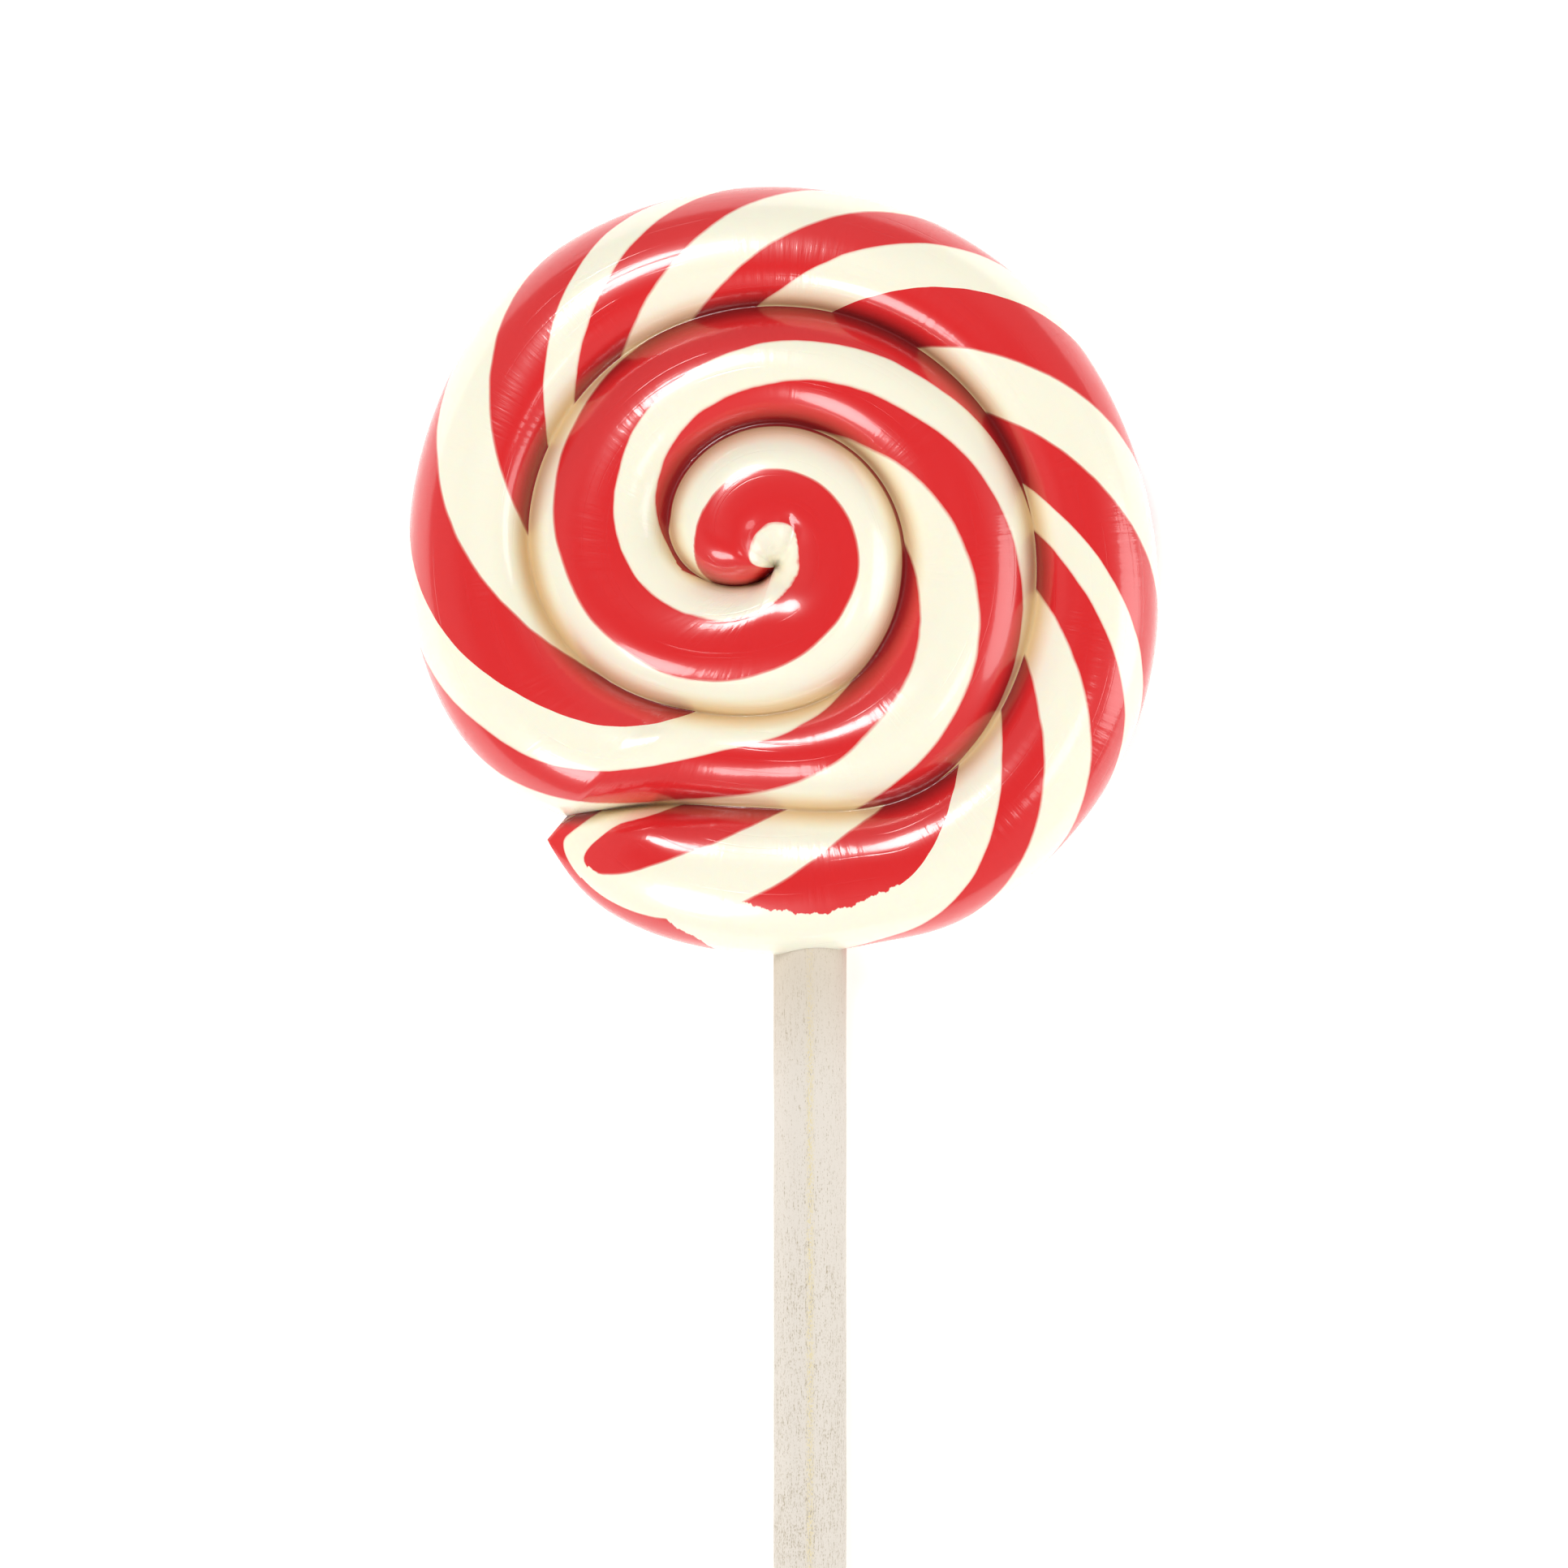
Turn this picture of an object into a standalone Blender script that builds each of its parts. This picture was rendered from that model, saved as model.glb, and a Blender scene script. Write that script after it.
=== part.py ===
# A swirl lollipop lying on its back: one coiled rope of hard candy on a round wooden stick.
# The coil's centre stands over the origin, the stick points to -Y and the shown side faces +Z.

import math

import bmesh
import bpy

MM = 0.001
TURN = 360.0

# Winding, in degrees. The rope is wound clockwise seen from above, and its angle counts on from turn to turn.
STATION_STEP = 5
FIRST_SEAM = 200  # where the rope first lies against its own start
TAIL_END = 940  # where the rope is cut off; from here on the seam is the free rim of the last turn
ROPE_START = FIRST_SEAM - int(TURN)
OPENING_START = 905  # from here to the tail's end the last turn parts from the one inside it

# Radius of the seam inside each turn, in mm: a base, steps where the rope climbs outwards, and low swells.
# Each row is a rise in mm, the angle of its middle and its spread in degrees.
SEAM_BASE = -0.5
SEAM_STEPS = ((12.0, 256.5, 40.0), (9.9, 595.5, 39.0), (11.0, 940.5, 12.6))
SEAM_SWELLS = (
    (-0.4, 298.0, 45.0),
    (0.36, 351.0, 40.0),
    (-0.87, 459.0, 54.0),
    (1.0, 870.0, 34.0),
    (-2.14, 900.0, 28.0),
)

# Radius of the free rim, in the same way.
RIM_BASE = 20.0
RIM_STEPS = ((9.78, 932.4, 22.6), (3.0, 1179.5, 26.0), (-1.07, 1239.8, 6.1), (-3.76, 1296.4, 9.5))
RIM_SWELLS = ((0.82, 1038.8, 24.0), (1.53, 1089.0, 88.0))

# Section of the rope.
CREST_HEIGHT = 14.6 * MM  # top of the rope at angle 0
CREST_FALL = 1.3 * MM  # each further turn lies this much lower
START_SEAM_DEPTH = 2.8 * MM  # from the crest of a turn down to the seam inside it, where the seam begins
SEAM_DEPTH = 3.0 * MM  # and once it has deepened
SEAM_DEEPENING = 130.0  # degrees that this takes
SEAM_LEAN = 68.0  # the rope's round side goes this far down before it meets the next turn, in degrees
RIM_LEAN = 90.0
START_WIDTH = 10.0 * MM  # the rope's start reaches its full height at this width
COVERED_FLANK = 5.7 * MM  # crest to outer seam, where the next turn lies against it
COVERED_SHARE = 0.57  # and at most this share of the width
INWARD_CREST = 1.7 * MM  # the widest part of the first turn has its crest this much nearer to the middle
INWARD_CREST_ANGLE = 195.0
INWARD_CREST_SPREAD = 35.0
FREE_FLANK = 6.5 * MM  # crest to rim on the last turn
FREE_SHARE = 0.65
RIM_HEIGHT = 6.0 * MM  # the widest place of the last turn
RIM_HALF_BAND = 0.3 * MM
START_ROUNDNESS = 2.8  # above 2, the first turn is flatter on top and steeper at its outer side
ROPE_ROUNDNESS = 2.0
ROUNDING_START = 215.0  # from here the section changes from the one to the other, over the next degrees
ROUNDING_LENGTH = 100.0

# Back of the coil, pressed flat on the table it was wound on.
BACK_GROOVE = 0.8 * MM  # depth of the seam seen from behind
BACK_GROOVE_START = 250.0
BACK_GROOVE_FULL = 330.0
BACK_ROUND = 2.0 * MM  # width of the rounding beside a seam
BACK_ROUND_SHARE = 0.3
BACK_FREE_ROUND = 4.5 * MM  # width of the rounding under the free rim
BACK_FREE_SHARE = 0.5

# The tail is pinched where it was cut.
PINCH_START = 905.0
PINCH_ROUNDNESS = 2.5  # above 2, the tail stays fuller and rounds off nearer the cut
PINCH_LEFT = 0.15  # share of the height left at the cut

INNER_SPANS = 5
OUTER_SPANS = 6
BACK_SPANS = 3

# Stick: a 6 mm dowel, 6 inches long.
STICK_RADIUS = 3.0 * MM
STICK_LENGTH = 152.4 * MM
STICK_X = 2.87 * MM  # it was pushed in a little to one side of the coil's centre
STICK_TOP_Y = 2.0 * MM
STICK_AXIS_Z = 5.0 * MM
STICK_EDGE = 0.3 * MM
STICK_SIDES = 32
SOCKET_GAP = 0.3 * MM


def smooth(value):
    """0 below 0, 1 above 1, and a soft ramp between."""
    value = min(max(value, 0.0), 1.0)
    return value * value * (3.0 - 2.0 * value)


def mix(low, high, share):
    return low + (high - low) * share


def steps_and_swells(angle, base, steps, swells):
    radius = base
    for rise, middle, spread in steps:
        radius += rise * 0.5 * (1.0 + math.tanh((angle - middle) / spread))
    for rise, middle, spread in swells:
        radius += rise * math.exp(-(((angle - middle) / spread) ** 2))
    return radius * MM


def seam_radius(angle):
    """Radius of the seam inside the rope at this angle; past the tail's end, radius of the free rim."""
    if angle < TAIL_END:
        return steps_and_swells(angle, SEAM_BASE, SEAM_STEPS, SEAM_SWELLS)
    return steps_and_swells(angle, RIM_BASE, RIM_STEPS, RIM_SWELLS)


def opening(angle):
    """How far the seam at this angle has opened into a free rim, from 0 to 1."""
    return smooth((angle - OPENING_START) / (TAIL_END - OPENING_START))


def pinch(angle):
    """Share of its height that the rope keeps at this angle."""
    along = max(0.0, (angle - PINCH_START) / (TAIL_END - PINCH_START))
    return max(PINCH_LEFT, math.sqrt(1.0 - along**PINCH_ROUNDNESS))


def full_crest(angle):
    return CREST_HEIGHT - CREST_FALL * angle / TURN


def seam_top(angle):
    """Height of the seam's bottom on the shown side."""
    depth = mix(START_SEAM_DEPTH, SEAM_DEPTH, smooth((angle - FIRST_SEAM) / SEAM_DEEPENING))
    closed = full_crest(angle) - depth
    return mix(closed, RIM_HEIGHT + RIM_HALF_BAND, opening(angle))


def seam_back(angle):
    """Height of the seam's bottom on the back."""
    closed = BACK_GROOVE * smooth((angle - BACK_GROOVE_START) / (BACK_GROOVE_FULL - BACK_GROOVE_START))
    return mix(closed, RIM_HEIGHT - RIM_HALF_BAND, opening(angle))


def section(angle):
    """Inner radius, outer radius and width of the rope at this angle."""
    inner = seam_radius(angle) if angle >= FIRST_SEAM else 0.0
    outer = seam_radius(angle + TURN)
    return inner, outer, outer - inner


def crest_flank(angle, width):
    """Width from the crest to the outer seam or rim."""
    free = opening(angle + TURN)
    flank = min(mix(COVERED_FLANK, FREE_FLANK, free), mix(COVERED_SHARE, FREE_SHARE, free) * width)
    return flank + INWARD_CREST * math.exp(-(((angle - INWARD_CREST_ANGLE) / INWARD_CREST_SPREAD) ** 2))


def lean_over(full_lean, share, power):
    """Reach and height, each from 0 to 1, on the side that falls from the crest to its full lean."""
    full = math.radians(full_lean)
    lean = full * share
    sideways = math.sin(lean) / math.sin(full)
    upright = (math.cos(lean) - math.cos(full)) / (1.0 - math.cos(full))
    return sideways**power, upright


def shown_profile(angle):
    """Points (radius, height) over the shown side, from the inner seam to the outer one."""
    inner, outer, width = section(angle)
    free = opening(angle + TURN)
    flank = crest_flank(angle, width)
    crest = outer - flank
    inner_low = seam_top(max(angle, FIRST_SEAM))
    outer_low = seam_top(angle + TURN)
    top = mix(RIM_HEIGHT, full_crest(angle), pinch(angle))
    top = mix(outer_low, top, smooth(width / START_WIDTH))
    outer_power = 2.0 / mix(START_ROUNDNESS, ROPE_ROUNDNESS, smooth((angle - ROUNDING_START) / ROUNDING_LENGTH))
    points = []
    for span in range(INNER_SPANS, 0, -1):
        sideways, upright = lean_over(SEAM_LEAN, span / INNER_SPANS, 1.0)
        points.append((crest - (crest - inner) * sideways, mix(inner_low, top, upright)))
    for span in range(OUTER_SPANS + 1):
        sideways, upright = lean_over(mix(SEAM_LEAN, RIM_LEAN, free), span / OUTER_SPANS, outer_power)
        points.append((crest + flank * sideways, mix(outer_low, top, upright)))
    return points


def back_profile(angle):
    """Points (radius, height) over the back, from the inner seam to the outer one."""
    inner, outer, width = section(angle)
    free = opening(angle + TURN)
    inner_round = min(BACK_ROUND, BACK_ROUND_SHARE * width)
    outer_round = min(mix(BACK_ROUND, BACK_FREE_ROUND, free), mix(BACK_ROUND_SHARE, BACK_FREE_SHARE, free) * width)
    inner_low = seam_back(angle) if angle >= FIRST_SEAM else 0.0
    outer_low = seam_back(angle + TURN)
    land = RIM_HEIGHT * (1.0 - pinch(angle))
    points = []
    for span in range(BACK_SPANS + 1):
        turn = math.radians(90.0 * span / BACK_SPANS)
        points.append((inner + inner_round * (1.0 - math.cos(turn)), mix(inner_low, land, math.sin(turn))))
    for span in range(BACK_SPANS, -1, -1):
        turn = math.radians(90.0 * span / BACK_SPANS)
        points.append((outer - outer_round * (1.0 - math.cos(turn)), mix(outer_low, land, math.sin(turn))))
    return points


def place(angle, radius, height):
    turn = math.radians(angle)
    return (radius * math.sin(turn), radius * math.cos(turn), height)


def coil_sheet(mesh, profile, centre, seam):
    """One side of the coil; neighbouring turns share the vertices of the seam between them.
    Returns the row of vertices of the last station."""
    before = None
    for angle in range(ROPE_START, TAIL_END + 1, STATION_STEP):
        points = profile(angle)
        inner = seam.get(angle, centre)
        outer = mesh.verts.new(place(angle, *points[-1]))
        seam[angle + int(TURN)] = outer
        if angle == ROPE_START:
            row = [centre, outer]
        else:
            between = [mesh.verts.new(place(angle, *point)) for point in points[1:-1]]
            row = [inner] + between + [outer]
        if before and len(before) == 2:
            for near, far in zip(row, row[1:]):
                if far is not before[1]:
                    mesh.faces.new((before[1], near, far))
        elif before:
            for near, far, near_before, far_before in zip(row, row[1:], before, before[1:]):
                corners = [near_before, near, far, far_before]
                mesh.faces.new(list(dict.fromkeys(corners)))
        before = row
    return before


def build_candy_mesh():
    mesh = bmesh.new()
    shown_seam = {}
    back_seam = {}
    shown_centre = mesh.verts.new((0.0, 0.0, seam_top(FIRST_SEAM)))
    back_centre = mesh.verts.new((0.0, 0.0, 0.0))
    shown_end = coil_sheet(mesh, shown_profile, shown_centre, shown_seam)
    back_end = coil_sheet(mesh, back_profile, back_centre, back_seam)
    rim_end = TAIL_END + int(TURN)
    for angle in range(TAIL_END, rim_end, STATION_STEP):
        following = angle + STATION_STEP
        mesh.faces.new((shown_seam[angle], shown_seam[following], back_seam[following], back_seam[angle]))
    mesh.faces.new(shown_end + back_end[::-1])
    bmesh.ops.recalc_face_normals(mesh, faces=mesh.faces[:])
    bmesh.ops.triangulate(mesh, faces=mesh.faces[:])
    data = bpy.data.meshes.new("candy")
    mesh.to_mesh(data)
    mesh.free()
    data.shade_smooth()
    return data


def add_rod(name, radius, length, top_y, edge):
    """A round rod along Y whose upper end is at top_y, its end edges taken off by a small chamfer."""
    mesh = bmesh.new()
    bmesh.ops.create_cone(
        mesh, cap_ends=True, segments=STICK_SIDES, radius1=radius, radius2=radius, depth=length
    )
    if edge:
        rims = [side for side in mesh.edges if abs(side.verts[0].co.z - side.verts[1].co.z) < edge]
        bmesh.ops.bevel(mesh, geom=rims, offset=edge, segments=2, affect="EDGES", profile=0.5)
    data = bpy.data.meshes.new(name)
    mesh.to_mesh(data)
    mesh.free()
    rod = bpy.data.objects.new(name, data)
    rod.rotation_euler = (math.radians(90.0), 0.0, 0.0)
    rod.location = (STICK_X, top_y - length / 2.0, STICK_AXIS_Z)
    bpy.context.scene.collection.objects.link(rod)
    return rod


def add_material(thing, name, colour, roughness):
    material = bpy.data.materials.new(name)
    material.use_nodes = True
    shader = material.node_tree.nodes["Principled BSDF"]
    shader.inputs["Base Color"].default_value = (*colour, 1.0)
    shader.inputs["Roughness"].default_value = roughness
    shader.inputs["Metallic"].default_value = 0.0
    thing.data.materials.append(material)


def main():
    for thing in list(bpy.data.objects):
        bpy.data.objects.remove(thing, do_unlink=True)

    candy = bpy.data.objects.new("candy", build_candy_mesh())
    bpy.context.scene.collection.objects.link(candy)
    add_material(candy, "red and cream hard candy", (0.82, 0.035, 0.04), 0.15)

    stick = add_rod("stick", STICK_RADIUS, STICK_LENGTH, STICK_TOP_Y, STICK_EDGE)
    stick.data.shade_smooth()
    stick.data.set_sharp_from_angle(angle=math.radians(30.0))
    add_material(stick, "birch dowel", (0.78, 0.69, 0.56), 0.65)

    socket = add_rod(
        "socket", STICK_RADIUS + SOCKET_GAP, STICK_LENGTH, STICK_TOP_Y + SOCKET_GAP, 0.0
    )
    socket.hide_render = True
    socket.display_type = "WIRE"
    hole = candy.modifiers.new("socket", "BOOLEAN")
    hole.operation = "DIFFERENCE"
    hole.solver = "EXACT"
    hole.object = socket


main()
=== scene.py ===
import math

import bmesh
import bpy
import numpy as np
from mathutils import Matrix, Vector, noise


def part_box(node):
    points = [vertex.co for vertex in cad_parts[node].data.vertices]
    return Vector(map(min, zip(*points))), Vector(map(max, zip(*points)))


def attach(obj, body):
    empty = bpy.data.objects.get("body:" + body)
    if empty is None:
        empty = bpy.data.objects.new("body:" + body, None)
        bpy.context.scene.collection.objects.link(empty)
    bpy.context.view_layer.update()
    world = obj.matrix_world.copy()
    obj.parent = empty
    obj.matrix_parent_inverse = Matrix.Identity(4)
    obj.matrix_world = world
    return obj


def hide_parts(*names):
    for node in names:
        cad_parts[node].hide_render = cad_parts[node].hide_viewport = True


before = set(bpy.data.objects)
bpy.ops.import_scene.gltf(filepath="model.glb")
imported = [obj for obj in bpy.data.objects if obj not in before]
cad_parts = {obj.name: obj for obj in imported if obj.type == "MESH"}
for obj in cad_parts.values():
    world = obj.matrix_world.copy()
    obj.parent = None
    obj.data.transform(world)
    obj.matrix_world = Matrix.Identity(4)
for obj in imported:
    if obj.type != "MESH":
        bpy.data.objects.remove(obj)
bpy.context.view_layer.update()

mm = 0.001
fullTurn = 360.0


# sRGB hex code to the linear colour that Blender's sockets take
def linearColour(hexCode, alpha=1.0):
    channels = [int(hexCode[place:place + 2], 16) / 255.0 for place in (0, 2, 4)]
    linear = [c / 12.92 if c <= 0.04045 else ((c + 0.055) / 1.055) ** 2.4 for c in channels]
    return (*linear, alpha)


# settings that many nodes share
eased = {"interpolation_type": "SMOOTHSTEP"}
flatNoise = {"noise_dimensions": "2D"}


# adds one node; a link's value is either another node's output or the socket's own value
def addNode(tree, kind, settings=None, links=None):
    node = tree.nodes.new(kind)
    for name, value in (settings or {}).items():
        setattr(node, name, value)
    for socket, value in (links or {}).items():
        if isinstance(value, bpy.types.NodeSocket):
            tree.links.new(value, node.inputs[socket])
        else:
            node.inputs[socket].default_value = value
    return node


def newMaterial(name):
    material = bpy.data.materials.new(name)
    material.use_nodes = True
    material.node_tree.nodes.clear()
    return material


def softRamp(value):
    value = np.clip(value, 0.0, 1.0)
    return value * value * (3.0 - 2.0 * value)


def mixed(low, high, share):
    return low + (high - low) * share


# The coil: one rope of hard candy, twisted and wound clockwise for nearly three turns, seen from above.
# Angles are degrees from +Y and count on from turn to turn. Sizes are mm until the guide is made.
coil = {
    "firstSeam": 200,
    "tailEnd": 940,
    "openingStart": 905.0,
    # rise, middle angle, spread: the seam steps outwards once a turn, with low swells between
    "seamBase": -0.5,
    "seamSteps": ((12.0, 256.5, 40.0), (9.9, 595.5, 39.0), (11.0, 940.5, 12.6)),
    "seamSwells": ((-0.4, 298.0, 45.0), (0.36, 351.0, 40.0), (-0.87, 459.0, 54.0), (1.0, 870.0, 34.0),
                   (-2.14, 900.0, 28.0)),
    "rimBase": 20.0,
    "rimSteps": ((9.78, 932.4, 22.6), (3.0, 1179.5, 26.0), (-1.07, 1239.8, 6.1), (-3.76, 1296.4, 9.5)),
    "rimSwells": ((0.82, 1038.8, 24.0), (1.53, 1089.0, 88.0)),
    # height of the crest, its fall with each turn, and the depth of the seams below it
    "crestHeight": 14.6,
    "crestFall": 1.3,
    "startSeamDepth": 2.8,
    "seamDepth": 3.0,
    "seamDeepening": 130.0,
    # how steeply the section meets a seam and the rim, in degrees
    "seamLean": 68.0,
    "rimLean": 90.0,
    "startWidth": 10.0,
    # how far the crest lies inside the outer edge, and the most that may be of the rope's width
    "coveredFlank": 5.7,
    "coveredShare": 0.57,
    # the widest part of the first turn has its crest nearer to the middle
    "inwardCrest": (1.7, 195.0, 35.0),
    "freeFlank": 6.5,
    "freeShare": 0.65,
    # where the third turn comes out from under the tail and the rope's middle line follows the rim
    "comingOutStart": 880.0,
    "comingOutLength": 80.0,
    "rimHeight": 6.0,
    # power of the outer flank's curve: 2 is round, more is flatter on top
    "startRoundness": 2.8,
    "ropeRoundness": 2.0,
    "roundingStart": 215.0,
    "roundingLength": 100.0,
    # the back is flat, with shallow seams and rounded sides
    "backGroove": 0.8,
    "backGrooveStart": 250.0,
    "backGrooveFull": 330.0,
    "backRound": 2.0,
    "backRoundShare": 0.3,
    "backFreeRound": 4.5,
    "pinchStart": 905.0,
    "pinchPower": 2.5,
    "pinchLeft": 0.15,
    "stationStep": 1,
    "shownColumns": 49,
    "backColumns": 12,
    "waveDepth": 0.12,
    "waveLength": 9.0,
    "seed": 7,
    "fusedWidth": 0.9,
    "fusingSteps": 8,
    "mergeGap": 0.002,
}

# The stripes: how far the rope is rolled, in degrees, by the angle of winding. It keeps its roll while the
# middle is formed and is then twisted ever faster. Section angles are 0 on the crest, 90 at the outer side.
twist = {
    "ropeRadius": 6.467,
    # widths of the strips round the rope in degrees, red and cream in turn
    "strips": (58, 57, 49, 29, 39, 45, 39, 44),
    # for a part of the third turn the strips crowd towards the crest: share, middle angle, spread
    "tighter": (0.15, 775, 45),
    "roll": ((-145, -224), (245, -227), (275, -216), (300, -201), (330, -184), (360, -173), (400, -160),
             (440, -133), (480, -104), (500, -91), (512, -84), (540, -58), (600, -5), (660, 136),
             (680, 184), (740, 347), (780, 460), (820, 570), (842, 633), (871, 722), (898, 779),
             (920, 835), (942, 934)),
    # the first turn is folded by hand, so its strips are drawn out: section angles of the two edges of its
    # red strip, then of the far edge of the cream strip inside it
    "outerEdge": ((-145, 88), (-100, 60), (-75, 33), (-50, 24), (0, 16.5), (90, 16.5), (120, 15), (150, 13),
                  (180, 18.5), (210, 28), (225, 29), (245, 22), (270, 26.5), (300, 44)),
    "innerEdge": ((-145, 12), (-90, 2), (-80, -6.5), (-70, -12.5), (-60, -17), (-50, -20.5), (-30, -23.5),
                  (0, -22), (20, -20.5), (50, -29.5), (100, -27.5), (130, -30), (160, -32.5), (180, -31),
                  (200, -28), (225, -28), (245, -32), (270, -23.5), (300, -3)),
    "nextEdge": ((-145, -130), (215, -130), (245, -112), (258, -100), (270, -93), (280, -66), (290, -48),
                 (310, -30), (330, -18)),
    # on the first turn the outer cream strip ends just above the seam, where the next red one shows as a line
    "creamEnd": 57.5,
    "leastCream": 10.0,
    "mostStretch": 2.0,
    "stretchFadeStart": 120.0,
    "stretchFadeLength": 60.0,
    "rollEvening": 13,
    "edgeEvening": 25,
    # at the pinched tail one red strip ends in a rounded finger
    "fingerPhase": 858.7,
    "fingerStart": 930.0,
    "fingerTaper": 7.0,
    "tipStart": 932.5,
    # the red strip under the rim isn't rolled further there, but runs on along the rim to the tip:
    # start, degrees held back for each degree wound, share of that past the tip, section angles of the rim
    "rimHoldStart": 916.0,
    "rimHold": 4.8,
    "tipHoldShare": 0.35,
    "rimStart": 45.0,
    "rimFull": 75.0,
    # before the tail a red strip runs out and cream spreads to the rim: section angles of its two edges
    "spreadInner": ((874, 12), (880, 19), (884, 24), (890, 30.5), (896, 29), (906, 20), (924, 20)),
    "spreadOuter": ((874, 2), (880, 62), (892, 90), (893, 130), (905, 130), (908, 90), (911, 66), (917, 52),
                    (924, 5)),
    "spreadEvening": 3,
}


def stepsAndSwells(angles, base, steps, swells):
    total = np.full_like(angles, base)
    for rise, middle, spread in steps:
        total += rise * 0.5 * (1.0 + np.tanh((angles - middle) / spread))
    for rise, middle, spread in swells:
        total += rise * np.exp(-(((angles - middle) / spread) ** 2))
    return total


def seamRadius(angles):
    seam = stepsAndSwells(angles, coil["seamBase"], coil["seamSteps"], coil["seamSwells"])
    rim = stepsAndSwells(angles, coil["rimBase"], coil["rimSteps"], coil["rimSwells"])
    return np.where(angles < coil["tailEnd"], seam, rim)


def opening(angles):
    return softRamp((angles - coil["openingStart"]) / (coil["tailEnd"] - coil["openingStart"]))


# share of its height that the rope keeps: all of it up to the tail, which rounds off to a thin lip
def pinch(angles):
    along = np.clip((angles - coil["pinchStart"]) / (coil["tailEnd"] - coil["pinchStart"]), 0.0, 1.0)
    return np.maximum(np.sqrt(1.0 - along ** coil["pinchPower"]), coil["pinchLeft"])


def fullCrest(angles):
    return coil["crestHeight"] - coil["crestFall"] * angles / fullTurn


def seamTop(angles):
    deepened = softRamp((angles - coil["firstSeam"]) / coil["seamDeepening"])
    depth = mixed(coil["startSeamDepth"], coil["seamDepth"], deepened)
    return mixed(fullCrest(angles) - depth, coil["rimHeight"], opening(angles))


def seamBack(angles):
    fade = (angles - coil["backGrooveStart"]) / (coil["backGrooveFull"] - coil["backGrooveStart"])
    return mixed(coil["backGroove"] * softRamp(fade), coil["rimHeight"], opening(angles))


# radius of the rope's own middle line, for the roll of the stripes. The last step and swells of the seam
# belong to the tail, and the middle line runs on smoothly under it without them.
def axisRadius(angles):
    outside = angles + fullTurn
    covered = stepsAndSwells(outside, coil["seamBase"], coil["seamSteps"][:2], coil["seamSwells"][:3])
    free = stepsAndSwells(outside, coil["rimBase"], coil["rimSteps"], coil["rimSwells"])
    share = softRamp((outside - coil["comingOutStart"]) / coil["comingOutLength"])
    return mixed(covered - coil["coveredFlank"], free - coil["freeFlank"], share)


# a curve through rows of angle and value, its corners evened out
def drawnThrough(angles, rows, evening):
    half = evening // 2
    longer = np.concatenate((angles[0] + np.arange(-half, 0), angles, angles[-1] + np.arange(1, half + 1)))
    raw = np.interp(longer, [row[0] for row in rows], [row[1] for row in rows])
    return np.convolve(raw, np.full(evening, 1.0 / evening), "valid")


# section angles of three strip edges: measured on the first turn, from there on as the rope is rolled
def stripEdges(angles):
    roll = drawnThrough(angles, twist["roll"], twist["rollEvening"]) + fullTurn
    edges = {}
    for name, strip in (("outerEdge", 2), ("innerEdge", 3), ("nextEdge", 4)):
        regular = roll - sum(twist["strips"][:strip])
        first = drawnThrough(angles, twist[name], twist["edgeEvening"])
        late = softRamp((angles - twist[name][-2][0]) / (twist[name][-1][0] - twist[name][-2][0]))
        edges[name] = mixed(first, regular, late)
    outerEdge = np.minimum(edges["outerEdge"], twist["creamEnd"] - twist["leastCream"])
    drawnOut = np.minimum(twist["strips"][1] / (twist["creamEnd"] - outerEdge), twist["mostStretch"])
    fade = softRamp((angles - twist["stretchFadeStart"]) / twist["stretchFadeLength"])
    edges["outsideStretch"] = mixed(drawnOut, 1.0, fade)
    return edges


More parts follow.
